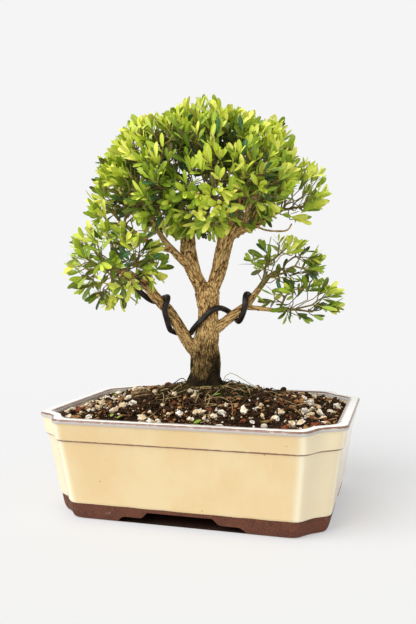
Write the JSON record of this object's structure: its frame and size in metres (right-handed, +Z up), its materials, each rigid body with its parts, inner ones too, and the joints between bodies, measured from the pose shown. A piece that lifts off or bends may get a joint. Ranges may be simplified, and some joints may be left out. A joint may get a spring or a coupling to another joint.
{
  "type": "boxwood bonsai in a pot",
  "caption": "Small trained boxwood tree with a forked trunk, wired lower boughs and a rounded leafy crown, planted in a rectangular glazed pot with indented corners and arched feet.",
  "frame": {"origin": "on the ground, under the middle of the pot", "axes": "+Z up, +X along the pot's long side, -Y towards the front of the pot and the best side of the tree"},
  "size_m": [0.25, 0.181, 0.3466],
  "materials": {
    "glaze": "glossy cream glaze breaking to brown on the edges, over a bare red-brown clay foot",
    "soil_mix": "matt dark bark humus with white pumice and red lava grains",
    "bark": "corky tan bark with long dark fissures",
    "wire": "dark brown anodised satin",
    "foliage": "leathery semi-gloss leaves, bright yellow-green at the tips"
  },
  "bodies": {
    "root": {"pot": "glaze", "soil": "soil_mix", "trunk": "bark", "stem_left": "bark", "stem_right": "bark", "bough_low_left": "bark", "bough_low_right": "bark", "bough_low_right_side": "bark", "side_limb_left": "bark", "side_limb_left_low": "bark", "side_limb_right": "bark", "drooping_twig": "bark", "limb_upper_right": "bark", "limb_back_left": "bark", "limb_back_right": "bark", "limb_front": "bark", "limb_front_right": "bark", "training_wire": "wire", "foliage_low_left": "foliage", "foliage_low_right_top": "foliage", "foliage_low_right_side": "foliage", "foliage_left": "foliage", "foliage_upper_left": "foliage", "foliage_top": "foliage", "foliage_upper_right": "foliage", "foliage_right": "foliage", "foliage_front_left": "foliage", "foliage_front": "foliage", "foliage_front_right": "foliage", "foliage_back_left": "foliage", "foliage_back_right": "foliage"}
  },
  "joints": []
}
